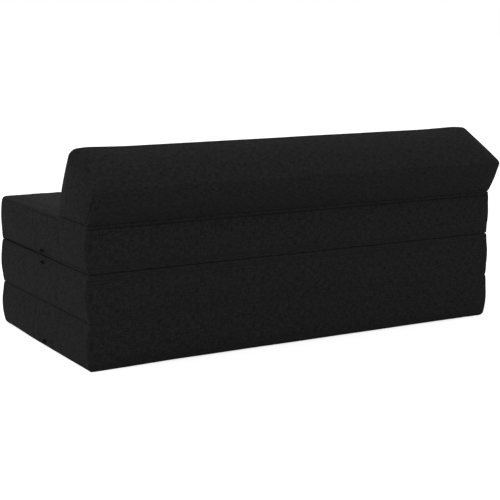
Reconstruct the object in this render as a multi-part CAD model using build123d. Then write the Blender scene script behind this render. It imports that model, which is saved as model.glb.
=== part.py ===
from build123d import *
import math
import os

# A foam sofa bed: three hinged panels stacked as a seat, with a wedge bolster on top.
# Millimetres. +Z is up, the sitter looks along -Y, and +X is the sitter's left.
# The origin is on the floor, under the middle of the stack of panels.
# The bottom and middle panels are joined at the rear, the middle and seat panels
# at the front, and the bolster is joined to the rear edge of the seat panel.

# Driving dimensions of the panels
SOFA_WIDTH = 1372.0
PANEL_DEPTH = 677.0
PANEL_PITCH = 133.0
FOLD_GAP = 0.3
END_BULGE = 8.0
FACE_BULGE = 3.0
SEAT_CROWN = 5.0
EDGE_RADIUS = 12.0

# Driving dimensions of the bolster
BOLSTER_BASE = 206.0
BOLSTER_HEIGHT = 200.0
BOLSTER_SETBACK = 80.0
BOLSTER_REAR_FACE = 118.0
BOLSTER_REAR_LEAN = 35.0
BOLSTER_REAR_BULGE = 4.0
BOLSTER_SLOPE_BULGE = 6.0
BOLSTER_FRONT_BULGE = 12.0

# Driving dimensions of the covers and the filling
FABRIC = 1.5
CORE_GAP = 0.3
SEAM_MARGIN = 2.0

# Driving dimensions of the zips, which start half way along the left end
CHAIN_WIDTH = 5.0
CHAIN_PROUD = 0.7
CHAIN_GAP = 0.2
CHAIN_START = 0.0
CHAIN_END_MARGIN = 40.0
SLIDER_LENGTH = 11.0
SLIDER_WIDTH = 9.0
SLIDER_NOSE_WIDTH = 6.0
SLIDER_FLANGE = 0.8
SLIDER_GAP = 0.3
PLATE_THICKNESS = 1.4
BRIDGE_LENGTH = 6.0
BRIDGE_WIDTH = 2.4
BRIDGE_WALL = 0.8
TAB_BAR_RADIUS = 1.0
TAB_BAR_GAP = 0.1
TAB_SIDE_GAP = 0.25
TAB_ARM_WIDTH = 1.4
TAB_LENGTH = 22.0
TAB_THICKNESS = 1.2
TAB_EYE_RADIUS = 1.4

# Places that follow from the sizes above
HALF_WIDTH = SOFA_WIDTH / 2
HALF_DEPTH = PANEL_DEPTH / 2
HALF_GAP = FOLD_GAP / 2
FACE_Y = HALF_DEPTH - HALF_GAP
SEAT_PLANE = 3 * PANEL_PITCH
END_SEAM = HALF_WIDTH - END_BULGE - EDGE_RADIUS - SEAM_MARGIN
SEAM_HEIGHT = EDGE_RADIUS + SEAM_MARGIN
CHAIN_HEIGHT = SEAM_HEIGHT + CHAIN_GAP + CHAIN_WIDTH / 2
FAR = 2 * (SOFA_WIDTH + PANEL_DEPTH)

# Which long edges of each panel are folds, as rear or front and low or high
PANELS = ["bottom", "middle", "seat"]
FOLDS = {
    "bottom": [("rear", "high")],
    "middle": [("rear", "low"), ("front", "high")],
    "seat": [("front", "low"), ("rear", "high")],
}
# The zip lies beside the seam that faces the floor when the bed is laid out
ZIP_EDGE = {"bottom": "low", "middle": "high", "seat": "low"}


def box_between(low, high):
    """A box from its lowest corner to its highest corner."""
    size = [b - a for a, b in zip(low, high)]
    middle = [(a + b) / 2 for a, b in zip(low, high)]
    return Pos(*middle) * Box(*size)


def bowed(start, end, bulge):
    """An edge from start to end that stands out by bulge on its right-hand side."""
    if bulge == 0:
        return Line(start, end)
    run = (end[0] - start[0], end[1] - start[1])
    length = math.hypot(*run)
    middle = (
        (start[0] + end[0]) / 2 + bulge * run[1] / length,
        (start[1] + end[1]) / 2 - bulge * run[0] / length,
    )
    return ThreePointArc(start, middle, end)


def outline(corners, bulges):
    """A closed face through corners, anticlockwise, with one bulge for each side."""
    ends = corners[1:] + corners[:1]
    return make_face([bowed(a, b, bulge) for a, b, bulge in zip(corners, ends, bulges)])


def drawn_in(corners, inset):
    """Moves every side of a straight-sided outline inwards by inset."""
    moved = []
    for i, corner in enumerate(corners):
        before = corners[i - 1]
        after = corners[(i + 1) % len(corners)]
        run_in = Vector(corner[0] - before[0], corner[1] - before[1]).normalized()
        run_out = Vector(after[0] - corner[0], after[1] - corner[1]).normalized()
        turn = run_in.X * run_out.Y - run_in.Y * run_out.X
        shift = (run_out - run_in) * (inset / turn)
        moved.append((corner[0] + shift.X, corner[1] + shift.Y))
    return moved


def side_prism(face):
    """Carries a face drawn in Y and Z across the whole width."""
    return extrude(Plane.YZ * face, amount=FAR, both=True)


def width_prism(low, high, inset):
    """Both bulging ends of a cushion, drawn as an X and Z outline."""
    x = HALF_WIDTH - END_BULGE - inset
    corners = [(-x, low), (x, low), (x, high), (-x, high)]
    face = outline(corners, [0, END_BULGE, 0, END_BULGE])
    return extrude(Plane.XZ * face, amount=FAR, both=True)


def panel_bounds(name):
    """The lowest and highest Z of a stacked panel. The bottom one lies on the floor."""
    level = PANELS.index(name)
    low = level * PANEL_PITCH + (HALF_GAP if level else 0)
    return low, (level + 1) * PANEL_PITCH - HALF_GAP


def crown_height(name):
    """How far the seat panel is crowned in front of the bolster. The others are flat."""
    return SEAT_CROWN if name == "seat" else 0


def panel_form(name, inset):
    """A panel's outer form, or that form taken in by inset all round."""
    low, high = panel_bounds(name)
    low, high = low + inset, high - inset
    rear = FACE_Y - FACE_BULGE - inset
    corners = [(-rear, low), (rear, low), (rear, high)]
    bulges = [0, FACE_BULGE, 0]
    crown = crown_height(name)
    if crown:
        corners.append((HALF_DEPTH - BOLSTER_BASE, high))
        bulges.append(crown)
    corners.append((-rear, high))
    bulges.append(FACE_BULGE)
    body = side_prism(outline(corners, bulges)) & width_prism(low, high + crown, inset)

    places = {"rear": rear, "front": -rear, "low": low, "high": high}

    def at_fold(edge):
        spot = edge.center()
        gaps = [math.hypot(spot.Y - places[y], spot.Z - places[z]) for y, z in FOLDS[name]]
        return min(gaps) < END_BULGE

    def at_crown_line(edge):
        return abs(edge.center().Y - HALF_DEPTH + BOLSTER_BASE) < END_BULGE

    edges = [e for e in body.edges() if not at_fold(e) and not at_crown_line(e)]
    return fillet(edges, EDGE_RADIUS - inset)


def bolster_corners():
    """The bolster's four straight-sided corners in Y and Z, before any rounding."""
    lean = math.radians(BOLSTER_REAR_LEAN)
    off = HALF_GAP + BOLSTER_REAR_BULGE
    # The rear face runs up from the fold line, and stands off it by its own bulge
    start = (HALF_GAP - off * math.sin(lean)) / math.cos(lean)
    heel = (-off * math.cos(lean) + start * math.sin(lean), HALF_GAP)
    rear = (
        -off * math.cos(lean) + BOLSTER_REAR_FACE * math.sin(lean),
        off * math.sin(lean) + BOLSTER_REAR_FACE * math.cos(lean),
    )
    front = (-BOLSTER_BASE, HALF_GAP)
    top = (-BOLSTER_BASE + BOLSTER_SETBACK, BOLSTER_HEIGHT)
    corners = [front, heel, rear, top]
    return [(HALF_DEPTH + y, SEAT_PLANE + z) for y, z in corners]


BOLSTER_CORNERS = bolster_corners()
BOLSTER_BULGES = [0, BOLSTER_REAR_BULGE, BOLSTER_SLOPE_BULGE, BOLSTER_FRONT_BULGE]


def bolster_form(inset):
    """The bolster's outer form, or that form taken in by inset all round."""
    corners = drawn_in(BOLSTER_CORNERS, inset)
    low = SEAT_PLANE + HALF_GAP + inset
    high = SEAT_PLANE + BOLSTER_HEIGHT - inset
    body = side_prism(outline(corners, BOLSTER_BULGES)) & width_prism(low, high, inset)
    heel = corners[1]

    def at_fold(edge):
        spot = edge.center()
        return math.hypot(spot.Y - heel[0], spot.Z - heel[1]) < END_BULGE

    return fillet([e for e in body.edges() if not at_fold(e)], EDGE_RADIUS - inset)


def zip_height(name):
    """The Z of the middle of a panel's zip."""
    low, high = panel_bounds(name)
    return low + CHAIN_HEIGHT if ZIP_EDGE[name] == "low" else high - CHAIN_HEIGHT


def zip_path(name, half_width):
    """A band that follows the zip: along the left end, round the corner, along the rear."""
    z = zip_height(name)
    inner_x = HALF_WIDTH - END_BULGE - EDGE_RADIUS
    inner_y = FACE_Y - FACE_BULGE - EDGE_RADIUS
    far_x = -HALF_WIDTH + END_BULGE + CHAIN_END_MARGIN
    along_end = box_between((inner_x, CHAIN_START, z - half_width), (FAR, FAR, z + half_width))
    along_rear = box_between((far_x, inner_y, z - half_width), (FAR, FAR, z + half_width))
    return along_end + along_rear


def end_seat(name, y):
    """A plane on the left end at the zip: X to the rear, Y up and Z outwards."""
    low, high = panel_bounds(name)
    high += crown_height(name)
    half = (high - low) / 2
    radius = (half**2 + END_BULGE**2) / (2 * END_BULGE)
    rise = zip_height(name) - (low + high) / 2
    angle = math.asin(rise / radius)
    x = HALF_WIDTH - radius + radius * math.cos(angle)
    out = Vector(math.cos(angle), 0, math.sin(angle))
    return Plane(origin=(x, y, zip_height(name)), x_dir=(0, 1, 0), z_dir=out)


def cover_pieces(name):
    """The six cloth pieces of a panel's cover, and the zip let into two of them."""
    low, high = panel_bounds(name)
    outside, inside = panel_form(name, 0), panel_form(name, FABRIC)
    lower, upper = low + SEAM_HEIGHT, high - SEAM_HEIGHT
    edge_y = FACE_Y + FACE_BULGE
    spaces = {
        "upper_panel": ((-FAR, -FAR, upper), (FAR, FAR, FAR)),
        "lower_panel": ((-FAR, -FAR, -FAR), (FAR, FAR, lower)),
        "front_band": ((-END_SEAM, -edge_y, lower), (END_SEAM, 0, upper)),
        "rear_band": ((-END_SEAM, 0, lower), (END_SEAM, edge_y, upper)),
        "left_end": ((END_SEAM, -FAR, lower), (FAR, FAR, upper)),
        "right_end": ((-FAR, -FAR, lower), (-END_SEAM, FAR, upper)),
    }
    slot = zip_path(name, CHAIN_WIDTH / 2 + 2 * CHAIN_GAP)
    pieces = {}
    for piece, (near_corner, far_corner) in spaces.items():
        cut = (outside & box_between(near_corner, far_corner)) - inside
        if piece in ("rear_band", "left_end"):
            cut = cut - slot
        pieces[piece] = cut
    proud = panel_form(name, -CHAIN_PROUD)
    pieces["zip_chain"] = (proud & zip_path(name, CHAIN_WIDTH / 2)) - inside
    return pieces


def slider():
    """A zip slider on its own plane: X along the chain, Z away from the cloth."""
    under = CHAIN_PROUD + SLIDER_GAP
    half_length, half_width = SLIDER_LENGTH / 2, SLIDER_WIDTH / 2
    top = under + PLATE_THICKNESS
    corners = [
        (-half_length, -SLIDER_NOSE_WIDTH / 2),
        (0, -half_width),
        (half_length, -half_width),
        (half_length, half_width),
        (0, half_width),
        (-half_length, SLIDER_NOSE_WIDTH / 2),
    ]
    plate = extrude(make_face(Polyline(*corners, close=True)), amount=PLATE_THICKNESS)
    body = Pos(0, 0, under) * plate
    for side in (-1, 1):
        outer = side * half_width
        inner = side * (half_width - SLIDER_FLANGE)
        low_y, high_y = min(inner, outer), max(inner, outer)
        body += box_between((0, low_y, SLIDER_GAP), (half_length, high_y, top))
    eye = bar_height() + TAB_BAR_RADIUS + TAB_BAR_GAP + BRIDGE_WALL
    body += box_between(
        (-BRIDGE_LENGTH / 2, -BRIDGE_WIDTH / 2, under), (BRIDGE_LENGTH / 2, BRIDGE_WIDTH / 2, eye)
    )
    bore = Cylinder(TAB_BAR_RADIUS + TAB_BAR_GAP, SLIDER_WIDTH, rotation=(90, 0, 0))
    return body - Pos(0, 0, bar_height()) * bore


def bar_height():
    """How far the pull tab's cross bar lies off the cloth."""
    return CHAIN_PROUD + SLIDER_GAP + PLATE_THICKNESS + TAB_BAR_RADIUS + TAB_BAR_GAP + BRIDGE_WALL


def pull_tab():
    """A pull tab on the slider's plane, lying to the rear with its bar in the bridge."""
    hole = BRIDGE_WIDTH / 2 + TAB_SIDE_GAP
    half_width = hole + TAB_ARM_WIDTH
    z = bar_height()
    half = TAB_THICKNESS / 2
    # The hole's end clears the bridge's corners as the tab swings over
    bridge_rise = TAB_BAR_RADIUS + TAB_BAR_GAP + BRIDGE_WALL
    hole_end = math.hypot(BRIDGE_LENGTH / 2, bridge_rise) + TAB_SIDE_GAP
    tab = box_between((0, -half_width, z - half), (TAB_LENGTH, half_width, z + half))
    tab = fillet(tab.edges().filter_by(Axis.Z).group_by(Axis.X)[-1], half_width / 2)
    tab -= box_between((-TAB_LENGTH, -hole, 0), (hole_end, hole, 2 * z))
    eye_x = TAB_LENGTH - half_width
    tab -= Pos(eye_x, 0, z) * Cylinder(TAB_EYE_RADIUS, TAB_LENGTH)
    bar = Cylinder(TAB_BAR_RADIUS, 2 * half_width, rotation=(90, 0, 0))
    return tab + Pos(0, 0, z) * bar


def bolster_pieces():
    """The six cloth pieces of the bolster's cover."""
    outside, inside = bolster_form(0), bolster_form(FABRIC)
    centre_y = sum(y for y, z in BOLSTER_CORNERS) / len(BOLSTER_CORNERS)
    centre_z = sum(z for y, z in BOLSTER_CORNERS) / len(BOLSTER_CORNERS)
    far = [(centre_y + 3 * (y - centre_y), centre_z + 3 * (z - centre_z)) for y, z in BOLSTER_CORNERS]
    middle = outside & box_between((-END_SEAM, -FAR, 0), (END_SEAM, FAR, FAR))
    pieces = {
        "left_end": (outside & box_between((END_SEAM, -FAR, 0), (FAR, FAR, FAR))) - inside,
        "right_end": (outside & box_between((-FAR, -FAR, 0), (-END_SEAM, FAR, FAR))) - inside,
    }
    sides = ["base_panel", "rear_panel", "slope_panel", "front_panel"]
    for i, piece in enumerate(sides):
        corners = [(centre_y, centre_z), far[i], far[(i + 1) % len(far)]]
        pieces[piece] = (middle & side_prism(outline(corners, [0, 0, 0]))) - inside
    return pieces


def write(name, shape):
    """Writes one solid as a STEP file named after its node."""
    solids = shape.solids()
    if len(solids) != 1:
        raise ValueError(f"{name} has {len(solids)} solids")
    export_step(solids[0], f"parts/{name}.step")


def main():
    os.makedirs("parts", exist_ok=True)
    slider_y = CHAIN_START + SLIDER_LENGTH / 2
    for name in PANELS:
        for piece, shape in cover_pieces(name).items():
            write(f"{name}_{piece}", shape)
        write(f"{name}_foam_core", panel_form(name, FABRIC + CORE_GAP))
        seat = end_seat(name, slider_y)
        write(f"{name}_zip_slider", seat * slider())
        write(f"{name}_zip_tab", seat * pull_tab())
        joint = seat.from_local_coords(Vector(0, 0, bar_height()))
        print(name, "tab pivot", [round(v, 3) for v in joint], "out", [round(v, 5) for v in seat.z_dir])
        print(name, "tab hinge axis", [round(v, 5) for v in seat.y_dir])
    for piece, shape in bolster_pieces().items():
        write(f"bolster_{piece}", shape)
    write("bolster_foam_core", bolster_form(FABRIC + CORE_GAP))


main()
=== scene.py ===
# %% [markdown]
# # A foam sofa bed, dressed over its frame
# The real object is three foam panels in zipped cloth covers, folded up as a seat, with a
# wedge bolster sewn to the rear edge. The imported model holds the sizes, so this script
# reads every place from it and only works on what the eye sees: soft covers, seams,
# zips, cloth and light.

# %% Load the frame
import math
import bpy
import numpy as np
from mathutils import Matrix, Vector


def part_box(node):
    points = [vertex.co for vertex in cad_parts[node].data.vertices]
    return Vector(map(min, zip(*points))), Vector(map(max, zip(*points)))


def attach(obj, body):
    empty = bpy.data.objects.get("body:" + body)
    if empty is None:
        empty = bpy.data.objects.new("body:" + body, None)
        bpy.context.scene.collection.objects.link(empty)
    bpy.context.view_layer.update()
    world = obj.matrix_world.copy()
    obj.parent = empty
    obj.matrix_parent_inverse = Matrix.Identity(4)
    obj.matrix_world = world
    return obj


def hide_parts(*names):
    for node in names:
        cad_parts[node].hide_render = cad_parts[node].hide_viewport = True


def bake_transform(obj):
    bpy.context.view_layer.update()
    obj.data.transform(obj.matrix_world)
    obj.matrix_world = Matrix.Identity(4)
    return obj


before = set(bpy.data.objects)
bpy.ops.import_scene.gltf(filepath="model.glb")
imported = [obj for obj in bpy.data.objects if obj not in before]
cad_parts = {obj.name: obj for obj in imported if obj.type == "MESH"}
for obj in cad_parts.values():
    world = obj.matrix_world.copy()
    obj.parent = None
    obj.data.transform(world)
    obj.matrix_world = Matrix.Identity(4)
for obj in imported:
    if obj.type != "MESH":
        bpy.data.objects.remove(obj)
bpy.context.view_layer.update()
MM = 0.001

# %% [markdown]
# ## Camera
# The photograph was taken from behind, a little above the sofa, with a long lens. The
# place and turn of the camera were fitted to the corners of the panels, whose real
# sizes are known. The place is in metres, the lens and its sensor are in millimetres.

# %% The camera at the photograph's angle
CAMERA_PLACE = (2.0225, 3.5197, 0.9614)
CAMERA_TURN = math.radians(-29.995)
CAMERA_DIP = math.radians(10.344)
CAMERA_LENS = 95.01
CAMERA_SENSOR = 36

camera_data = bpy.data.cameras.new("camera")
camera_data.lens = CAMERA_LENS
camera_data.sensor_width = CAMERA_SENSOR
camera = bpy.data.objects.new("camera", camera_data)
bpy.context.collection.objects.link(camera)
camera.location = CAMERA_PLACE
looking = Vector((
    math.sin(CAMERA_TURN) * math.cos(CAMERA_DIP),
    -math.cos(CAMERA_TURN) * math.cos(CAMERA_DIP),
    -math.sin(CAMERA_DIP),
))
camera.rotation_euler = looking.to_track_quat("-Z", "Y").to_euler()
bpy.context.scene.camera = camera

# %% [markdown]
# ## Sizes from the frame
# Every cushion is as large as the cloth pieces of its cover, so their boxes are joined
# into one. A box is two corners, lowest and highest.

# %% Boxes of the cushions
COVER = ["upper_panel", "lower_panel", "front_band", "rear_band", "left_end", "right_end"]
BOLSTER_COVER = [
    "base_panel", "rear_panel", "slope_panel", "front_panel", "left_end", "right_end",
]
PANELS = ["bottom", "middle", "seat"]


def joined_box(nodes):
    """The box round several nodes: the least of their low corners, the most of their high."""
    corners = np.array([[list(c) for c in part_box(node)] for node in nodes])
    return corners[:, 0].min(axis=0), corners[:, 1].max(axis=0)


def cover_nodes(name):
    """The nodes of one cushion that the dressed cushion stands for."""
    pieces = BOLSTER_COVER if name == "bolster" else COVER
    return [f"{name}_{piece}" for piece in pieces]


boxes = {name: joined_box(cover_nodes(name)) for name in PANELS + ["bolster"]}
for name, (low, high) in boxes.items():
    print(name, "is", np.round((high - low) / MM), "mm")
half_width = boxes["bottom"][1][0]

# %% [markdown]
# ## A cushion's skin as one grid
# A boxed cushion is a rounded box. Six flat grids, one for each side, are worked out as
# whole arrays and their shared edges are welded, which gives a closed skin with even
# rows. Each side keeps its own flat coordinates in metres as a UV map, so that the weave
# runs along the cloth and meets at the seams, as it does on a sewn cover. The same grid
# is made twice: with coarse even rows for the cloth simulation, and with fine rows that
# crowd together at the seams for the cushion that is kept.

# %% The grid of a box
SIDES = [(0, 1), (0, -1), (1, 1), (1, -1), (2, 1), (2, -1)]
# For a side across X, Y or Z: the two axes that its flat grid runs along
FLAT_AXES = [(1, 2), (0, 2), (0, 1)]
ROW_STEP = 10 * MM
WELD_REACH = 0.01 * MM
TINY_LENGTH = 1e-9
TINY_AREA = 1e-12


def crowded_rows(half, edge_rows):
    """Coordinates from -half to half: the edge rows at both ends, even steps between them."""
    start = -half + edge_rows
    inner = 2 * half - 2 * edge_rows[-1]
    count = max(2, round(inner / ROW_STEP))
    middle = np.linspace(start[-1], -start[-1], count + 1)[1:-1]
    return np.concatenate([start, middle, -start[::-1]])


def box_grid(rows):
    """A welded grid over a box, from its rows along X, Y and Z.

    It gives the points, the quads, the flat place of every quad's corners, and for each
    side the grid of its points' numbers.
    """
    halves = [along[-1] for along in rows]
    points, quads, flat, shapes = [], [], [], []
    offset = 0
    for axis, sign in SIDES:
        u_axis, v_axis = FLAT_AXES[axis]
        u, v = np.meshgrid(rows[u_axis], rows[v_axis], indexing="ij")
        side = np.empty(u.shape + (3,))
        side[..., axis] = sign * halves[axis]
        side[..., u_axis] = u
        side[..., v_axis] = v
        index = offset + np.arange(u.size).reshape(u.shape)
        quad = np.stack([index[:-1, :-1], index[1:, :-1], index[1:, 1:], index[:-1, 1:]], axis=-1)
        # Y runs the other way round from X and Z, so that every side faces outwards
        if (sign > 0) == (axis == 1):
            quad = quad[..., ::-1]
        points.append(side.reshape(-1, 3))
        quads.append(quad.reshape(-1, 4))
        flat.append(np.stack([u, v], axis=-1).reshape(-1, 2))
        shapes.append(index)
        offset += u.size
    points, quads, flat = (np.concatenate(parts) for parts in (points, quads, flat))
    keys = np.round(points / WELD_REACH).astype(np.int64)
    _, first, welded = np.unique(keys, axis=0, return_index=True, return_inverse=True)
    welded = welded.ravel()
    return points[first], welded[quads], flat[quads], [welded[index] for index in shapes]


def ease(x):
    """A smooth step from 0 to 1: 3x^2 - 2x^3, held at its ends."""
    x = np.clip(x, 0, 1)
    return x * x * (3 - 2 * x)


def rounded(points, halves, radius):
    """Rounds a box's edges: points go to the box shrunk by the radius, then out by it."""
    radius = np.asarray(radius)[..., None]
    core = np.clip(points, -(halves - radius), halves - radius)
    away = points - core
    length = np.linalg.norm(away, axis=1, keepdims=True)
    return core + away * radius / np.maximum(length, TINY_LENGTH)


def grid_normals(points, quads):
    """Unit normals at the points: the crossed diagonals of the quads, added up and scaled."""
    corners = points[quads]
    across = np.cross(corners[:, 2] - corners[:, 0], corners[:, 3] - corners[:, 1])
    total = np.zeros_like(points)
    for k in range(4):
        np.add.at(total, quads[:, k], across)
    return total / np.maximum(np.linalg.norm(total, axis=1, keepdims=True), TINY_AREA)


def new_piece(name, points, faces, flat=None, smooth=True):
    """An object of points and faces, with each corner's flat place as its UV map."""
    mesh = bpy.data.meshes.new(name)
    mesh.from_pydata(points.tolist(), [], faces)
    if smooth:
        mesh.shade_smooth()
    if flat is not None:
        layer = mesh.uv_layers.new(name="cloth")
        layer.uv.foreach_set("vector", np.ascontiguousarray(flat, dtype=np.float32).ravel())
    mesh.update()
    piece = bpy.data.objects.new(name, mesh)
    bpy.context.collection.objects.link(piece)
    return piece


# %% [markdown]
# ## Cloth round foam
# The cover is a little larger than its foam, and the foam presses on it from inside. That
# is simulated: the coarse skin becomes cloth with a slight excess of length, held along
# its seams and pushed from inside for a few frames. The small swellings and the folds at
# the seams come out of it, and they are then carried to the fine grid with a smooth
# spline, and held within a few millimetres so that every cushion keeps its size.

# %% Blow up a skin
CLOTH_STEP = 15 * MM
CLOTH_FRAMES = 20
CLOTH_CAP = 6 * MM
CLOTH_EXCESS = 0.0025
CLOTH_SETTINGS = {
    "quality": 6,
    "mass": 0.3,
    "tension_stiffness": 15,
    "compression_stiffness": 15,
    "shear_stiffness": 6,
    "bending_stiffness": 0.6,
    "use_pressure": True,
    "uniform_pressure_force": 3.0,
    "shrink_min": -CLOTH_EXCESS,
    "vertex_group_mass": "seams",
}


def even_rows(half):
    """Even coordinates from -half to half, about a cloth step apart."""
    return np.linspace(-half, half, max(5, round(2 * half / CLOTH_STEP) + 1))


def blown_up(points, quads, held):
    """A cloth skin's points after air has pressed on it from inside, its held points still."""
    piece = new_piece("skin_in_work", points, quads.tolist())
    piece.vertex_groups.new(name="seams").add(np.flatnonzero(held).tolist(), 1.0, "REPLACE")
    cloth_maker = piece.modifiers.new("cloth", "CLOTH")
    for key, value in CLOTH_SETTINGS.items():
        setattr(cloth_maker.settings, key, value)
    cloth_maker.settings.effector_weights.gravity = 0
    cloth_maker.point_cache.frame_start = 1
    cloth_maker.point_cache.frame_end = CLOTH_FRAMES
    for step in range(1, CLOTH_FRAMES + 1):
        bpy.context.scene.frame_set(step)
    settled = piece.evaluated_get(bpy.context.evaluated_depsgraph_get())
    places = np.empty(points.size, dtype=np.float32)
    settled.data.vertices.foreach_get("co", places)
    bpy.context.scene.frame_set(1)
    bpy.data.objects.remove(piece)
    return places.reshape(-1, 3).astype(float)


def spline_weights(fine, coarse):
    """Catmull-Rom weights that carry values on even coarse rows to the fine rows."""
    place = (fine - coarse[0]) / (coarse[1] - coarse[0])
    start = np.clip(np.floor(place), 0, len(coarse) - 2).astype(int)
    f = place - start
    shares = [(-f + 2 * f**2 - f**3) / 2, (2 - 5 * f**2 + 3 * f**3) / 2,
              (f + 4 * f**2 - 3 * f**3) / 2, (-(f**2) + f**3) / 2]
    weights = np.zeros((len(fine), len(coarse)))
    for step, share in enumerate(shares, start=-1):
        neighbour = np.clip(start + step, 0, len(coarse) - 1)
        np.add.at(weights, (np.arange(len(fine)), neighbour), share)
    return weights


def cloth_swelling(shape, halves, fine_rows, fine_sides, count):
    """How far the simulated cloth moves from its shape, capped, on the fine grid's points."""
    rows = [even_rows(half) for half in halves]
    box, quads, _, sides = box_grid(rows)
    start = shape(box)
    on_edge = (np.abs(box) > halves - WELD_REACH).sum(axis=1) > 1
    moved = blown_up(start, quads, on_edge) - start
    length = np.linalg.norm(moved, axis=1, keepdims=True)
    moved *= np.minimum(1, CLOTH_CAP / np.maximum(length, TINY_LENGTH))
    print("cloth moved by at most", round(float(length.max() / MM), 1), "mm")
    fine = np.zeros((count, 3))
    for (axis, _), coarse_side, fine_side in zip(SIDES, sides, fine_sides):
        u_axis, v_axis = FLAT_AXES[axis]
        along_u = spline_weights(fine_rows[u_axis], rows[u_axis])
        along_v = spline_weights(fine_rows[v_axis], rows[v_axis])
        fine[fine_side] = np.einsum("iu,uvk,jv->ijk", along_u, moved[coarse_side], along_v)
    return fine


# %% [markdown]
# ## Seams
# Along every seam the cloth dips into a narrow groove and puckers in short ripples that
# die out within a few centimetres. The ripples are sums of sines with fixed seeds, so
# every run is the same. How deep a point lies in a seam is also kept as an attribute,
# which paints shade into the cloth's colour there, since the grooves are too narrow to
# shade themselves in the render.

# %% Seam grooves and puckers
SEAM_FROM_EDGE = 9 * MM
SEAM_DEPTH = 0.8 * MM
SEAM_WIDTH = 1.5 * MM
PUCKER_HEIGHT = 0.4 * MM
PUCKER_LENGTH = 26 * MM
PUCKER_FADE = 11 * MM
SLACK_HEIGHT = 0.4 * MM
# The shortest and the longest wave of a field, as shares of its wavelength
WAVE_SPREAD = (0.7, 1.6)
SEAM_FADE = 300 * MM
FAR_FROM_SEAM = 1.0
UPRIGHT_SHARE = 0.2
BOLSTER_LAP = 1.6 * MM
# The seeds of the first cushion's waves. The others count on from them
LEVEL_SEED = 31
UPRIGHT_SEED = 41
SLACK_SEED = 11
# For the low and the high seam of each panel: how deep it is at the ends, the front and the rear.
# The depth also sets how much shade is painted into the seam
SEAM_SHARES = {
    "bottom": {-1: (0.3, 0.4, 0.3), 1: (0, 0.4, 0)},
    "middle": {-1: (0, 0.4, 0), 1: (0.1, 0, 0.1)},
    "seat": {-1: (0.9, 0, 0.2), 1: (0.75, 0.6, 0.9)},
}


def slow_waves(places, seed, wavelength, count=7):
    """A smooth random field between about -1 and 1: the mean of plane waves, times 2."""
    random = np.random.default_rng(seed)
    ways = random.normal(size=(count, places.shape[1]))
    ways /= np.linalg.norm(ways, axis=1, keepdims=True)
    steps = 2 * math.pi / (wavelength * random.uniform(*WAVE_SPREAD, count))
    phases = random.uniform(0, 2 * math.pi, count)
    return 2 * np.sin(places @ (ways * steps[:, None]).T + phases).mean(axis=1)


def seam_relief(points, distance, seed):
    """The groove, -depth e^-(distance / width)^2, and puckers fading as e^-(distance / fade)."""
    depth = np.exp(-((distance / SEAM_WIDTH) ** 2))
    puckers = slow_waves(points, seed, PUCKER_LENGTH) * np.exp(-np.abs(distance) / PUCKER_FADE)
    # The groove's depth share is also the mask of the painted seam shade
    return PUCKER_HEIGHT * puckers - SEAM_DEPTH * depth, depth


# %% [markdown]
# ## The three panels
# Each panel is the rounded box, with ends that bulge between the seams, long sides that
# bulge less, and on the seat a low crown in front of the bolster. Where two panels are
# joined by a fold the edge stays sharp, because there the same cloth runs on. The rows
# crowd together at the seams and again under the zip.

# %% Sizes of the panels
EDGE_RADIUS = 12 * MM
FOLD_RADIUS = 1.5 * MM
FOLD_TAPER = 45 * MM
FOLD_GAP = 0.3 * MM
HALF_GAP = 0.15 * MM
END_BULGE = 8 * MM
FACE_BULGE = 3 * MM
# How much of its bulge each end has at its front and at its rear corner
CORNER_SHARES = {"bottom": (1.25, 1.15), "middle": (1.15, 1.15), "seat": (0.6, 1.0)}
CORNER_POWER = 6
CROWN_POWER = 8
SOFT_CORNER = 12 * MM
SOFT_CORNER_REACH = 90 * MM
# How far the rows near an edge lie from it: close together at the seam, 9 mm in, and up a
# side also under the zip
EDGE_ROWS = np.array([0, 2, 4, 6, 7.4, 8.3, 9, 9.7, 10.6, 12, 15, 20, 27]) * MM
HEIGHT_ROWS = np.array([0, 2, 4, 6, 7.4, 8.3, 9, 9.7, 10.6, 12, 14, 16.7, 19.4, 22, 26]) * MM
# Each panel's folded edges: front -1 or rear 1, low -1 or high 1
FOLDS = {
    "bottom": [(1, 1)],
    "middle": [(1, -1), (-1, 1)],
    "seat": [(-1, -1), (1, 1)],
}
TIGHT_RADIUS = 3 * MM
LIP_RADIUS = 3.8 * MM
RESTING_RADIUS = 4.4 * MM
TIGHT_TAPER = 30 * MM
# Each panel's low or high edge that lies on another: its radius, and 1 if it loosens forwards
RESTING = {
    "bottom": [(1, TIGHT_RADIUS, 0)],
    "middle": [(-1, TIGHT_RADIUS, 0), (1, LIP_RADIUS, 0)],
    "seat": [(-1, RESTING_RADIUS, 1)],
}
seat_plane = boxes["bolster"][0][2]
bolster_base = boxes["seat"][1][1] - boxes["bolster"][0][1]
UNDER_TAPER = 40 * MM
UNDER_FADE = 20 * MM
ZIP_CLEARING = 45 * MM
ZIP_HOLD = 290 * MM
PANEL_SLACK_LENGTH = 220 * MM
# From this share of its half height on, a panel lies on what is under or over it
LYING_SHARE = 0.97
# How far the skin may go past the frame's box
PANEL_ROOM = np.array([2, 0.5, 0]) * MM


def panel_halves(name):
    """Half the panel's sizes without its bulges and crown, its middle, and the crown's height."""
    low, high = (corner.copy() for corner in boxes[name])
    crown = high[2] - (seat_plane - FOLD_GAP) if name == "seat" else 0.0
    high[2] -= crown
    return (high - low) / 2 - np.array([END_BULGE, FACE_BULGE, 0]), (low + high) / 2, crown


def tightened(radius, tight, away, taper):
    """The radius held down to the tight one at an edge, which grows back over the taper."""
    return np.minimum(radius, tight + (EDGE_RADIUS - tight) * ease(away / taper))


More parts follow.
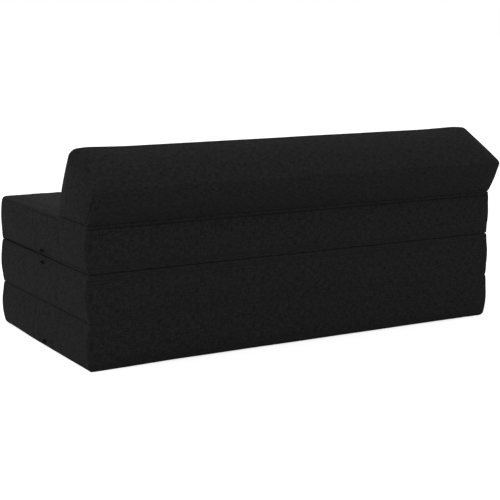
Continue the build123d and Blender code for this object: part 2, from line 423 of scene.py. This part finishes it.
# %% How round each edge of a panel is
def edge_radius(name, halves, crown, box):
    """The rounding at each point of a panel's box."""
    radius = np.full(len(box), EDGE_RADIUS)
    # Where two panels lie on each other the edge is tighter, under the seat more so at the rear
    to_front = ease(0.5 - box[:, 1] / (2 * halves[1]))
    for level, least, loosens in RESTING[name]:
        tight = least + (EDGE_RADIUS - least) * to_front * loosens
        radius = tightened(radius, tight, np.abs(box[:, 2] - level * halves[2]), TIGHT_TAPER)
    if name == "bottom":
        # On the floor the zip holds the lower edge straight round the rear corner
        beside = ease(1 - (halves[0] - box[:, 0]) / ZIP_HOLD)
        beside *= ease((box[:, 1] + halves[1]) / ZIP_HOLD)
        tight = EDGE_RADIUS - (EDGE_RADIUS - TIGHT_RADIUS) * beside
        radius = tightened(radius, tight, box[:, 2] + halves[2], TIGHT_TAPER)
    if crown:
        # The bolster presses the seat's upper edge tight
        under = ease(0.5 + (box[:, 1] - halves[1] + bolster_base) / UNDER_TAPER)
        tight = EDGE_RADIUS - (EDGE_RADIUS - TIGHT_RADIUS) * under
        away = halves[2] - box[:, 2]
        radius = tightened(radius, tight, away, TIGHT_TAPER)
        # The front corners of the seat are worn rounder
        to_corner = np.hypot(halves[0] - np.abs(box[:, 0]), box[:, 1] + halves[1])
        radius = radius + SOFT_CORNER * ease(1 - np.hypot(to_corner, away) / SOFT_CORNER_REACH)
    # The rounding shrinks again to the fold's along the folded edges
    for side, level in FOLDS[name]:
        away = np.hypot(box[:, 1] - side * halves[1], box[:, 2] - level * halves[2])
        radius = tightened(radius, FOLD_RADIUS, away, FOLD_TAPER)
    return radius


# %% A panel's shape and skin
def panel_shape(name, halves, crown):
    """The function from a point of the box to the panel's resting shape, centred on the panel."""
    def shape(box):
        points = rounded(box, halves, edge_radius(name, halves, crown, box))
        share = points / halves
        swell = 1 - share[:, 2] ** 2
        at_corner = np.where(share[:, 1] < 0, *CORNER_SHARES[name])
        out_x = END_BULGE * swell * (1 - (1 - at_corner) * share[:, 1] ** CORNER_POWER)
        points[:, 0] += out_x * share[:, 0]
        points[:, 1] += FACE_BULGE * swell * share[:, 1]
        if crown:
            front = (points[:, 1] + halves[1]) / (2 * halves[1] - bolster_base)
            along = np.clip(4 * front * (1 - front), 0, 1) * (front < 1)
            across = 1 - np.abs(share[:, 0]) ** CROWN_POWER
            points[:, 2] += crown * along * across * ease(share[:, 2])
        return points
    return shape


def panel_skin(name):
    """One panel's skin: its shape, the cloth's swelling, its seams, moved to its place."""
    number = PANELS.index(name)
    halves, middle, crown = panel_halves(name)
    crowds = (EDGE_ROWS, EDGE_ROWS, HEIGHT_ROWS)
    rows = [crowded_rows(half, crowd) for half, crowd in zip(halves, crowds)]
    box, quads, flat, sides = box_grid(rows)
    shape = panel_shape(name, halves, crown)
    points = shape(box)
    swelling = cloth_swelling(shape, halves, rows, sides, len(box))
    # The cloth lies still round the zip's slider, in the middle of the left end
    to_slider = np.hypot(points[:, 0] - halves[0], points[:, 1])
    points += swelling * ease(to_slider / ZIP_CLEARING)[:, None]
    normals = grid_normals(points, quads)
    on_side = (np.abs(box[:, :2]) - halves[:2]).max(axis=1) > -EDGE_RADIUS
    on_face = np.abs(box[:, 1]) > halves[1] - EDGE_RADIUS
    # The level seams are pulled tight to different degrees, and fade towards the front of an end
    level_seam = halves[2] - SEAM_FROM_EDGE - np.abs(box[:, 2])
    from_front = ease((box[:, 1] + halves[1]) / SEAM_FADE)
    if crown:
        # The cover of the bolster comes down over the rear of the seat, so the seam is lower
        # there, and under the bolster's ends it doesn't show
        level_seam -= BOLSTER_LAP * ((box[:, 2] > 0) & on_face & (box[:, 1] > 0))
        under_bolster = ease(1 + (box[:, 1] - halves[1] + bolster_base) / UNDER_FADE)
        from_front *= 1 - (box[:, 2] > 0) * under_bolster
    lift, depth = seam_relief(points[:, :2], level_seam, LEVEL_SEED + number)
    to_upright = halves[0] - SEAM_FROM_EDGE - np.abs(box[:, 0])
    upright_seam = np.where(on_face, to_upright, FAR_FROM_SEAM)
    upright_lift, upright_depth = seam_relief(points[:, 2:], upright_seam, UPRIGHT_SEED + number)
    share = np.zeros(len(box))
    for level, (at_end, at_front, at_rear) in SEAM_SHARES[name].items():
        side = np.where(box[:, 1] > 0, at_rear, at_front)
        there = np.where(on_face, side, at_end * from_front)
        share = np.where(box[:, 2] * level > 0, there, share)
    lift = np.where(on_side, share * lift + UPRIGHT_SHARE * upright_lift, 0)
    depth = np.where(on_side, np.maximum(share * depth, UPRIGHT_SHARE * upright_depth), 0)
    lift += SLACK_HEIGHT * slow_waves(points, SLACK_SEED + number, PANEL_SLACK_LENGTH)
    # The flat faces that lie on something swell no further
    lying = np.abs(points[:, 2]) > LYING_SHARE * halves[2]
    lift = np.where(lying, np.minimum(lift, 0), lift)
    points = points + middle + normals * lift[:, None]
    points = np.clip(points, boxes[name][0] - PANEL_ROOM, boxes[name][1] + PANEL_ROOM)
    return points, quads, flat, sides, depth


def new_cushion(name, points, quads, flat, depth):
    """A cushion from its skin. How deep each point lies in a seam is kept for the cloth's painted
    seam shade.
    """
    piece = new_piece(f"{name}_cushion", points, quads.tolist(), flat)
    # The mask of the painted seam shade: how deep each point lies in a seam
    layer = piece.data.attributes.new("painted_seam_shade", "FLOAT", "POINT")
    layer.data.foreach_set("value", depth.astype(np.float32))
    print(name, "cushion has", len(quads), "quads")
    return piece


cushions, skins = {}, {}
for name in PANELS:
    points, quads, flat, sides, depth = panel_skin(name)
    cushions[name] = new_cushion(name, points, quads, flat, depth)
    skins[name] = (points, quads, sides)

# %% [markdown]
# ## The bolster
# The bolster's section is a leaning four-sided wedge. The same box grid is used: the
# box's section is carried to the wedge by blending its four corners, and each side is
# then pushed out by its own bulge. The edge between the rear and the slope has no seam,
# so it is a broad soft curve, and only at the ends does it come to a point.

# %% Sizes of the bolster
BOLSTER_BASE = 206 * MM
BOLSTER_SETBACK = 80 * MM
BOLSTER_REAR_LEAN = math.radians(35)
BOLSTER_REAR_FACE = 118 * MM
BOLSTER_BULGES = {"rear": 4 * MM, "slope": 6 * MM, "front": 12 * MM}
# The blank is the box that is carried to the wedge
BOLSTER_BLANK = 100 * MM
blank_halves = np.array([half_width - END_BULGE, BOLSTER_BLANK, BOLSTER_BLANK])
BASE_RADIUS = 3.5 * MM
TOP_RADIUS = 23 * MM
END_TAPER = 60 * MM
SOFT_RADIUS = 38 * MM
SOFT_TAPER = 110 * MM
END_PULL = {"front": 0.4, "slope": 1.0, "rear": 0.2}
PULL_POWER = 14
EAR_HEIGHT = 4 * MM
EAR_REACH = 200 * MM
FAINT_SEAM = 0.15
SEAM_RUN_OUT = 60 * MM
# On the blank: where the rear face's seam starts, over what it grows, and how high it goes
REAR_SEAM_START = 0.7 * BOLSTER_BLANK
REAR_SEAM_GROWTH = 0.15 * BOLSTER_BLANK
REAR_SEAM_SPAN = 0.93 * BOLSTER_BLANK
BOLSTER_SLACK_LENGTH = 200 * MM
# Points of the blank this near its base lie on the seat
LYING_REACH = 1 * MM
# How far the skin may go past the frame's box, at its low and at its high corner
BOLSTER_ROOM = np.array([[2, 5, 0], [2, 5, 5]]) * MM


def wedge_corners():
    """The section's corners in Y and Z: front, heel, rear and top, going round the wedge."""
    low, high = boxes["bolster"]
    fold_y = boxes["seat"][1][1] + HALF_GAP
    fold_z = low[2] - HALF_GAP
    off = BOLSTER_BULGES["rear"] + HALF_GAP
    sine, cosine = math.sin(BOLSTER_REAR_LEAN), math.cos(BOLSTER_REAR_LEAN)
    heel_run = (low[2] - fold_z - off * sine) / cosine
    heel = (fold_y - off * cosine + heel_run * sine, low[2])
    rear = (
        fold_y - off * cosine + BOLSTER_REAR_FACE * sine,
        fold_z + off * sine + BOLSTER_REAR_FACE * cosine,
    )
    front = (fold_y - BOLSTER_BASE, low[2])
    top = (fold_y - BOLSTER_BASE + BOLSTER_SETBACK, high[2])
    return np.array([front, heel, rear, top])


# %% The bolster's shape and skin
def bolster_shape(box):
    """A rounded box whose Y and Z section is carried to the wedge, each side bulging."""
    from_heel = np.hypot(box[:, 1] - BOLSTER_BLANK, box[:, 2] + BOLSTER_BLANK)
    radius = FOLD_RADIUS + (EDGE_RADIUS - FOLD_RADIUS) * ease(from_heel / FOLD_TAPER)
    from_end = blank_halves[0] - np.abs(box[:, 0])
    at_end = 1 - ease(from_end / END_TAPER)
    # At the ends the rounding grows from the tight base to the soft top
    upper = ease(0.5 + box[:, 2] / (2 * BOLSTER_BLANK))
    radius = radius + (BASE_RADIUS + (TOP_RADIUS - BASE_RADIUS) * upper - EDGE_RADIUS) * at_end
    radius = np.maximum(radius, FOLD_RADIUS)
    soft = ((box[:, 1] > 0) & (box[:, 2] > 0)) * ease(from_end / SOFT_TAPER)
    radius = radius + (SOFT_RADIUS - EDGE_RADIUS) * soft
    points = rounded(box, blank_halves, radius)
    s = ((points[:, 1] / BOLSTER_BLANK + 1) / 2)[:, None]
    t = ((points[:, 2] / BOLSTER_BLANK + 1) / 2)[:, None]
    front, heel, rear, top = wedge_corners()
    section = (1 - t) * ((1 - s) * front + s * heel) + t * ((1 - s) * top + s * rear)
    ways = {
        "front": (front - top, (1 - s) * 4 * t * (1 - t)),
        "slope": (top - rear, t * 4 * s * (1 - s)),
        "rear": (rear - heel, s * 4 * t * (1 - t)),
    }
    # The sides are drawn in at the ends, where the seams hold them
    to_end = np.abs(points[:, :1] / blank_halves[0]) ** PULL_POWER
    for side, (run, amount) in ways.items():
        outwards = np.array([run[1], -run[0]]) / np.linalg.norm(run)
        free = 1 - END_PULL[side] * to_end
        section = section + BOLSTER_BULGES[side] * free * amount * outwards
    # The top edge stands a little higher where the ends hold it up
    ears = EAR_HEIGHT * ease(1 - from_end / EAR_REACH)[:, None] * (t * (1 - s)) ** 2
    section = section + ears * np.array([0, 1])
    swell = np.sqrt(np.maximum(16 * t * (1 - t) * s * (1 - s), 0))[:, 0]
    wide = points[:, 0] * (1 + END_BULGE * swell / blank_halves[0])
    return np.column_stack([wide, section])


def bolster_skin():
    """The bolster's skin: its shape, the cloth's swelling and the seams of its ends."""
    number = len(PANELS)
    rows = [crowded_rows(half, EDGE_ROWS) for half in blank_halves]
    box, quads, flat, sides = box_grid(rows)
    swelling = cloth_swelling(bolster_shape, blank_halves, rows, sides, len(box))
    points = bolster_shape(box) + swelling
    normals = grid_normals(points, quads)
    on_end = np.abs(box[:, 0]) > blank_halves[0] - EDGE_RADIUS
    to_edge = np.min(BOLSTER_BLANK - np.abs(box[:, 1:]), axis=1)
    end_seam = np.where(on_end, to_edge - SEAM_FROM_EDGE, FAR_FROM_SEAM)
    lift, depth = seam_relief(points, end_seam, LEVEL_SEED + number)
    # The end's seam shows at the rear face only, and fades out towards the slope. Round the
    # rest of the end it is stretched flat
    at_rear = ease((box[:, 1] - REAR_SEAM_START) / REAR_SEAM_GROWTH)
    at_rear *= ease((REAR_SEAM_SPAN - box[:, 2]) / SEAM_RUN_OUT) * (box[:, 2] > -REAR_SEAM_SPAN)
    shows = FAINT_SEAM + (1 - FAINT_SEAM) * at_rear
    lift, depth = lift * shows, depth * shows
    lift += SLACK_HEIGHT * slow_waves(points, SLACK_SEED + number, BOLSTER_SLACK_LENGTH)
    lift = np.where(box[:, 2] < LYING_REACH - BOLSTER_BLANK, np.minimum(lift, 0), lift)
    points = points + normals * lift[:, None]
    low, high = boxes["bolster"]
    points = np.clip(points, low - BOLSTER_ROOM[0], high + BOLSTER_ROOM[1])
    return points, quads, flat, depth


cushions["bolster"] = new_cushion("bolster", *bolster_skin())

# %% [markdown]
# ## Cloth over the folds
# At each fold the covers of two cushions are one piece of cloth. A narrow strip carries
# it across, so that no gap shows there. At the front fold it lies deep in the groove
# between the cushions, at the two rear folds nearly flush.

# %% Fold strips
STRIP_REACH = 8 * MM
STRIP_SINK = 0.5 * MM
STRIP_DIP = 0.7 * MM
FLUSH_DIP = -0.3 * MM
STRIP_THICKNESS = 0.8 * MM
STRIP_MARGIN = 8 * MM
STRIP_RINGS = 140
LEG_ROWS = 9
# As shares of a leg: the dip's width, and how near the fold its first row lies
DIP_WIDTH = 0.3
FIRST_ROW = 0.02


def tube(grid):
    """The points of a row of rings, and the faces of the closed tube that they make."""
    index = np.arange(grid[..., 0].size).reshape(grid.shape[:2])
    ring = np.roll(index, -1, axis=1)
    walls = np.stack([index[:-1], ring[:-1], ring[1:], index[1:]], axis=-1).reshape(-1, 4)
    return grid.reshape(-1, 3), walls.tolist() + [index[0][::-1].tolist(), index[-1].tolist()]


def fold_strip(name, fold, way_a, way_b, deepest):
    """A strip bent along a fold line: a V of two short legs, which dips at the fold."""
    end = half_width - END_BULGE - STRIP_MARGIN
    x = np.linspace(-end, end, STRIP_RINGS)
    run = np.concatenate([
        -np.geomspace(1, FIRST_ROW, LEG_ROWS), [0], np.geomspace(FIRST_ROW, 1, LEG_ROWS),
    ])[:, None]
    legs = np.where(run < 0, -run * way_a, run * way_b) * STRIP_REACH
    outwards = (way_a + way_b) / np.linalg.norm(way_a + way_b)
    dip = STRIP_SINK + deepest * np.exp(-((run / DIP_WIDTH) ** 2))
    outer = fold + legs - outwards * dip
    inner = outer - outwards * STRIP_THICKNESS
    loop = np.concatenate([outer, inner[::-1]])
    grid = np.empty((len(x), len(loop), 3))
    grid[..., 0] = x[:, None]
    grid[..., 1:] = loop[None]
    points, faces = tube(grid)
    flat = points[[corner for face in faces for corner in face]][:, [0, 2]]
    return new_piece(name, points, faces, flat)


# %% [markdown]
# ## Finishes
# A colour is written as the hex value a screen would show and turned to linear light by
# one function. One function adds a node with its settings and its links.

# %% Helpers for materials
def linear(hex_colour, alpha=1.0):
    """sRGB hex to linear: c / 12.92 when dark, else ((c + 0.055) / 1.055)^2.4."""
    values = [int(hex_colour[i:i + 2], 16) / 255 for i in (1, 3, 5)]
    return [c / 12.92 if c <= 0.04045 else ((c + 0.055) / 1.055) ** 2.4 for c in values] + [alpha]


def node(tree, kind, inputs=None, **settings):
    """Adds a node, sets its properties, and gives each input a value or a link."""
    made = tree.nodes.new(kind)
    for key, value in settings.items():
        setattr(made, key, value)
    for key, value in (inputs or {}).items():
        if isinstance(value, bpy.types.NodeSocket):
            tree.links.new(value, made.inputs[key])
        else:
            made.inputs[key].default_value = value
    return made


def maths(tree, operation, *values):
    """The result of an operation on values or links."""
    return node(tree, "ShaderNodeMath", dict(enumerate(values)), operation=operation).outputs[0]


def remapped(tree, value, **ends):
    """A value carried from one range to another. A range whose ends aren't given is 0 to 1."""
    inputs = {key.replace("_", " ").title(): end for key, end in ends.items()}
    return node(tree, "ShaderNodeMapRange", {"Value": value, **inputs}).outputs[0]


def new_material(name):
    """A material without nodes, and its tree."""
    material = bpy.data.materials.new(name)
    material.use_nodes = True
    material.node_tree.nodes.clear()
    return material, material.node_tree


# %% [markdown]
# ## Slubby woven polyester
# The covers are a linen-look polyester: a plain weave of uneven black and charcoal
# yarns, so short pale and dark slubs run both ways. The real yarns are under a millimetre
# thick, too fine for the render, so the slubs are drawn nearly 4 mm wide and the yarns
# 2 mm apart. The cloth is matt, and shade is painted into its colour in the seams, where
# the grooves are deepest.

# %% The cloth
YARN_PITCH = 2.0 * MM
YARN_SHARE = 0.35
SLUB_LENGTH = 15 * MM
SLUB_WIDTH = 3.8 * MM
BROAD_SIZE = (160 * MM, 120 * MM)
BROAD_SHARE = 0.25
# The values of the slubs' noise that are darkest and palest
DARK_END = 0.15
PALE_END = 1.1
WEAVE_DEPTH = 0.5 * MM


def stretched_noise(tree, flat_place, u_size, v_size, detail):
    """Noise whose blobs are u_size by v_size on the flat cloth."""
    scale = (1 / u_size, 1 / v_size, 1)
    place = node(tree, "ShaderNodeMapping", {"Vector": flat_place, "Scale": scale}).outputs[0]
    inputs = {"Vector": place, "Scale": 1.0, "Detail": detail, "Roughness": 0.55}
    return node(tree, "ShaderNodeTexNoise", inputs, noise_dimensions="2D").outputs["Fac"]


def woven_cloth(name, dark, pale, seam_shade_colour):
    """The cover's cloth: slubs both ways for the colour, painted shade in the seams, yarns and
    slubs for the bump.
    """
    material, tree = new_material(name)
    flat_place = node(tree, "ShaderNodeUVMap", uv_map="cloth").outputs[0]
    warp = stretched_noise(tree, flat_place, SLUB_WIDTH, SLUB_LENGTH, 0.0)
    weft = stretched_noise(tree, flat_place, SLUB_LENGTH, SLUB_WIDTH, 0.0)
    slubs = maths(tree, "ADD", warp, weft)
    shade = remapped(tree, slubs, from_min=0.5, from_max=1.5)
    broad = stretched_noise(tree, flat_place, *BROAD_SIZE, 3.0)
    mixed = maths(tree, "MULTIPLY_ADD", broad, BROAD_SHARE, shade)
    ramp = node(tree, "ShaderNodeValToRGB", {"Fac": mixed})
    for stop, place, shown in zip(ramp.color_ramp.elements, (DARK_END, PALE_END), (dark, pale)):
        stop.position = place
        stop.color = linear(shown)
    # Painted shade: the colour darkens to the seam shade colour where the seam groove is deepest
    depth = node(tree, "ShaderNodeAttribute", attribute_name="painted_seam_shade").outputs["Fac"]
    inputs = {"Factor": depth, "A": ramp.outputs[0], "B": linear(seam_shade_colour)}
    colour = node(tree, "ShaderNodeMix", inputs, data_type="RGBA")
    yarns = node(
        tree, "ShaderNodeTexChecker", {"Vector": flat_place, "Scale": 1 / YARN_PITCH},
    ).outputs["Fac"]
    height = maths(tree, "MULTIPLY_ADD", yarns, YARN_SHARE, slubs)
    inputs = {"Height": height, "Strength": 0.2, "Distance": WEAVE_DEPTH}
    bump = node(tree, "ShaderNodeBump", inputs).outputs[0]
    shader = node(tree, "ShaderNodeBsdfPrincipled", {
        "Base Color": colour.outputs[2],
        "Roughness": remapped(tree, slubs, to_min=0.98, to_max=0.86),
        "Normal": bump,
        "Specular IOR Level": 0.03,
    })
    node(tree, "ShaderNodeOutputMaterial", {"Surface": shader.outputs[0]})
    return material


# The third colour is painted shade for the seam grooves
cloth = woven_cloth("slubby_woven_polyester", "#1e1e1e", "#2c2c2c", "#141414")

# %% The cushions get their cloth and their body, and the nodes they stand for are hidden
for name, piece in cushions.items():
    piece.data.materials.append(cloth)
    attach(piece, name)
    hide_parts(*cover_nodes(name), f"{name}_foam_core")

# %% [markdown]
# ## Strips at the three folds
# The strips lie at the folds between two cushions. Each leg lies along its cushion's skin,
# which leaves the fold at the slope of its bulge: four times the bulge's height over the
# width of the side.

# %% Make the strips
heel_y = wedge_corners()[1][0]
edge_y = boxes["bottom"][1][1] - FACE_BULGE
face_lean = 4 * FACE_BULGE / (boxes["bottom"][1][2] - boxes["bottom"][0][2])
wedge_lean = BOLSTER_REAR_LEAN + 4 * BOLSTER_BULGES["rear"] / BOLSTER_REAR_FACE
rear_down = (math.sin(face_lean), -math.cos(face_lean))
rear_up = (math.sin(face_lean), math.cos(face_lean))
front_down, front_up = ((-y, z) for y, z in (rear_down, rear_up))
bolster_up = (math.sin(wedge_lean), math.cos(wedge_lean))
STRIPS = [
    ("rear_fold_cloth", "bottom", "middle", edge_y, rear_down, rear_up),
    ("front_fold_cloth", "middle", "seat", -edge_y, front_down, front_up),
    ("bolster_fold_cloth", "seat", "bolster", (edge_y + heel_y) / 2, rear_down, bolster_up),
]
for name, below, above, y, way_down, way_up in STRIPS:
    z = (boxes[below][1][2] + boxes[above][0][2]) / 2
    if above == "bolster":
        # The seat's own box reaches up to its crown
        z = boxes["bolster"][0][2] - HALF_GAP
    deepest = STRIP_DIP if above == "seat" else FLUSH_DIP
    # The legs change places at the front, so that the strip faces outwards there too
    ways = (way_down, way_up) if y > 0 else (way_up, way_down)
    strip = fold_strip(name, np.array([y, z]), *map(np.array, ways), deepest)
    strip.data.materials.append(cloth)
    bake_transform(strip)

# %% [markdown]
# ## Zips
# Each panel's zip is a black nylon coil between two lips of cloth, each held by a row of
# stitches. The coil is a row of small bars. Its path is read from the cushion's own grid,
# at the height of the frame's zip chain: along the left end, round the corner and along
# the rear. The slider and its pull tab are the frame's own metal pieces.

# %% Zip finishes
def grain(tree, scale, detail):
    """Noise through the object, fine enough for a small moulded or cast piece."""
    place = node(tree, "ShaderNodeTexCoord").outputs["Object"]
    inputs = {"Vector": place, "Scale": scale, "Detail": detail}
    return node(tree, "ShaderNodeTexNoise", inputs).outputs["Fac"]


def worn_metal(name, colour):
    """Black plated zinc: a metal with fine scratches in its roughness and bump."""
    material, tree = new_material(name)
    fine = grain(tree, 900.0, 3.0)
    bump = node(tree, "ShaderNodeBump", {"Height": fine, "Strength": 0.1, "Distance": 0.05 * MM})
    shader = node(tree, "ShaderNodeBsdfPrincipled", {
        "Base Color": linear(colour),
        "Metallic": 1.0,
        "Roughness": remapped(tree, fine, to_min=0.5, to_max=0.7),
        "Normal": bump.outputs[0],
        "Specular Tint": linear("#3a3a3c"),
    })
    node(tree, "ShaderNodeOutputMaterial", {"Surface": shader.outputs[0]})
    return material


def moulded_nylon(name, colour):
    """Black nylon: a dull plastic with a faint grain."""
    material, tree = new_material(name)
    shader = node(tree, "ShaderNodeBsdfPrincipled", {
        "Base Color": linear(colour),
        "Roughness": remapped(tree, grain(tree, 700.0, 2.0), to_min=0.6, to_max=0.8),
        "IOR": 1.53,
        "Specular IOR Level": 0.04,
    })
    node(tree, "ShaderNodeOutputMaterial", {"Surface": shader.outputs[0]})
    return material


black_metal = worn_metal("black_plated_zinc", "#262627")
nylon = moulded_nylon("black_nylon_coil", "#262627")
thread = moulded_nylon("polyester_thread", "#2a2a2b")
for name in PANELS:
    for piece in ("slider", "tab"):
        metal_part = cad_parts[f"{name}_zip_{piece}"]
        for slot in metal_part.material_slots:
            slot.material = black_metal

# %% The zip's path along its cushion
ZIP_SINK = 0.3 * MM
ZIP_START_ROOM = 1 * MM


def level_line(name, height):
    """The cushion's skin at one height, along its left end to the rear and along the rear."""
    points, quads, sides = skins[name]
    normals = grid_normals(points, quads)
    end, rear = sides[SIDES.index((0, 1))], sides[SIDES.index((1, 1))][::-1]
    grid = np.concatenate([end, rear[1:]])
    heights = points[grid, 2]
    above = np.clip((heights < height).sum(axis=1), 1, grid.shape[1] - 1)
    row = np.arange(len(grid))
    low, high = heights[row, above - 1], heights[row, above]
    share = ((height - low) / (high - low))[:, None]
    line = points[grid[row, above - 1]] * (1 - share) + points[grid[row, above]] * share
    out = normals[grid[row, above - 1]] * (1 - share) + normals[grid[row, above]] * share
    return line, out


def zip_frames(name, step, beside=0.0):
    """Points every step along a zip or beside it, and the ways along, up and out of the cloth."""
    low, high = (np.array(list(corner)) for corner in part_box(f"{name}_zip_chain"))
    line, out = level_line(name, (low[2] + high[2]) / 2 + beside)
    kept = (line[:, 1] > low[1] - ZIP_START_ROOM) & (line[:, 0] > low[0])
    line, out = line[kept], out[kept]
    length = np.concatenate([[0], np.cumsum(np.linalg.norm(np.diff(line, axis=0), axis=1))])
    run = np.arange(step, length[-1] - step, step)
    centre = np.stack([np.interp(run, length, line[:, k]) for k in range(3)], axis=1)
    out = np.stack([np.interp(run, length, out[:, k]) for k in range(3)], axis=1)
    along = np.gradient(centre, axis=0)
    along /= np.linalg.norm(along, axis=1, keepdims=True)
    out -= along * (out * along).sum(axis=1, keepdims=True)
    out /= np.linalg.norm(out, axis=1, keepdims=True)
    return centre, along, np.cross(out, along), out


def section_rings(section, centre, up, out):
    """The points of a section (up, out) at each place of a path."""
    return centre[:, None] + section[:, :1] * up[:, None] + section[:, 1:] * out[:, None]


def bars(section, length, centre, along, up, out):
    """A short prism of the section at each place: its points and faces."""
    face = section_rings(section, centre, up, out)
    half = along[:, None] * length / 2
    bar = np.stack([face - half, face + half], axis=1)
    index = np.arange(bar[..., 0].size).reshape(bar.shape[:3])
    near, far = index[:, 0], index[:, 1]
    walls = np.stack([near, np.roll(near, -1, axis=1), np.roll(far, -1, axis=1), far], axis=-1)
    faces = walls.reshape(-1, 4).tolist() + near[:, ::-1].tolist() + far.tolist()
    return bar.reshape(-1, 3), faces


def joined_piece(name, parts):
    """One object with flat faces from several lists of points and faces."""
    points, faces, offset = [], [], 0
    for part_points, part_faces in parts:
        points.append(part_points)
        faces += [[corner + offset for corner in face] for face in part_faces]
        offset += len(part_points)
    return new_piece(name, np.concatenate(points), faces, smooth=False)


# %% Coil, tape and stitches
TAPE_STEP = 6 * MM
TOOTH_PITCH = 1.5 * MM
TOOTH_LENGTH = 0.85 * MM
STITCH_PITCH = 3.4 * MM
STITCH_LENGTH = 2.6 * MM
STITCHES_BESIDE = 5.2 * MM
TOOTH_SECTION = np.array([
    (-1.7, -0.5), (1.7, -0.5), (1.7, 0.15), (1.2, 0.45), (0.3, 0.5),
    (0, 0.3), (-0.3, 0.5), (-1.2, 0.45), (-1.7, 0.15),
]) * MM
TAPE_SECTION = np.array([(-2.5, -0.6), (2.5, -0.6), (2.5, 0.05), (-2.5, 0.05)]) * MM
STITCH_SECTION = np.array([(-0.45, -0.3), (0.45, -0.3), (0.3, 0.22), (-0.3, 0.22)]) * MM


def zip_pieces(name):
    """The coil on its tape, the two rows of stitches that hold the lips, and the teeth's count."""
    centre, along, up, out = zip_frames(name, TAPE_STEP)
    tape = tube(section_rings(TAPE_SECTION, centre + ZIP_SINK * out, up, out))
    centre, along, up, out = zip_frames(name, TOOTH_PITCH)
    teeth = bars(TOOTH_SECTION, TOOTH_LENGTH, centre + ZIP_SINK * out, along, up, out)
    coil = joined_piece(f"{name}_zip_coil", [tape, teeth])
    rows = []
    for side in (-STITCHES_BESIDE, STITCHES_BESIDE):
        rows.append(bars(STITCH_SECTION, STITCH_LENGTH, *zip_frames(name, STITCH_PITCH, side)))
    return coil, joined_piece(f"{name}_zip_stitches", rows), len(centre)


for name in PANELS:
    coil, stitches, teeth = zip_pieces(name)
    coil.data.materials.append(nylon)
    stitches.data.materials.append(thread)
    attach(coil, name)
    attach(stitches, name)
    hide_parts(f"{name}_zip_chain")
    print(name, "zip has", teeth, "teeth")

# %% [markdown]
# ## Room and light
# The photograph has a white ground and soft light from above and from the sofa's left
# end. The ground's whiteness comes from what the camera sees of it, so the light on
# the sofa stays at a plain level.

# %% Floor, world and lamps
FLOOR_GLOW = 0.72
FLOOR_REACH = 30
WORLD_LEVEL = 0.60


def looked_at(tree):
    """1 for a ray from the camera or off a glossy surface, else 0."""
    path = node(tree, "ShaderNodeLightPath")
    return maths(tree, "MAXIMUM", path.outputs["Is Camera Ray"], path.outputs["Is Glossy Ray"])


def pale_floor():
    """A white floor that keeps the sofa's shadow, brightened only where it is looked at."""
    material, tree = new_material("white_floor")
    paint = node(tree, "ShaderNodeBsdfDiffuse", {"Color": linear("#f2f2f2")})
    level = maths(tree, "MULTIPLY", looked_at(tree), FLOOR_GLOW)
    glow = node(tree, "ShaderNodeEmission", {"Color": linear("#ffffff"), "Strength": level})
    both = node(tree, "ShaderNodeAddShader", {0: paint.outputs[0], 1: glow.outputs[0]})
    node(tree, "ShaderNodeOutputMaterial", {"Surface": both.outputs[0]})
    return material


floor_corners = np.array([[-1, -1, 0], [1, -1, 0], [1, 1, 0], [-1, 1, 0]]) * FLOOR_REACH
floor = new_piece("floor", floor_corners, [[0, 1, 2, 3]])
floor.data.materials.append(pale_floor())

world = bpy.data.worlds.new("studio")
world.use_nodes = True
tree = world.node_tree
tree.nodes.clear()
level = maths(tree, "MAXIMUM", looked_at(tree), WORLD_LEVEL)
sky = node(tree, "ShaderNodeBackground", {"Color": linear("#ffffff"), "Strength": level})
node(tree, "ShaderNodeOutputWorld", {"Surface": sky.outputs[0]})
bpy.context.scene.world = world


def area_lamp(name, place, target, size, power):
    """A square lamp at place, turned to target."""
    data = bpy.data.lights.new(name, "AREA")
    data.size = size
    data.energy = power
    lamp = bpy.data.objects.new(name, data)
    lamp.location = place
    lamp.rotation_euler = (Vector(target) - Vector(place)).to_track_quat("-Z", "Y").to_euler()
    bpy.context.collection.objects.link(lamp)


area_lamp("key", place=(1.6, -1.2, 3.6), target=(0, 0, 0.3), size=2.5, power=18)
bpy.context.scene.view_settings.view_transform = "Standard"
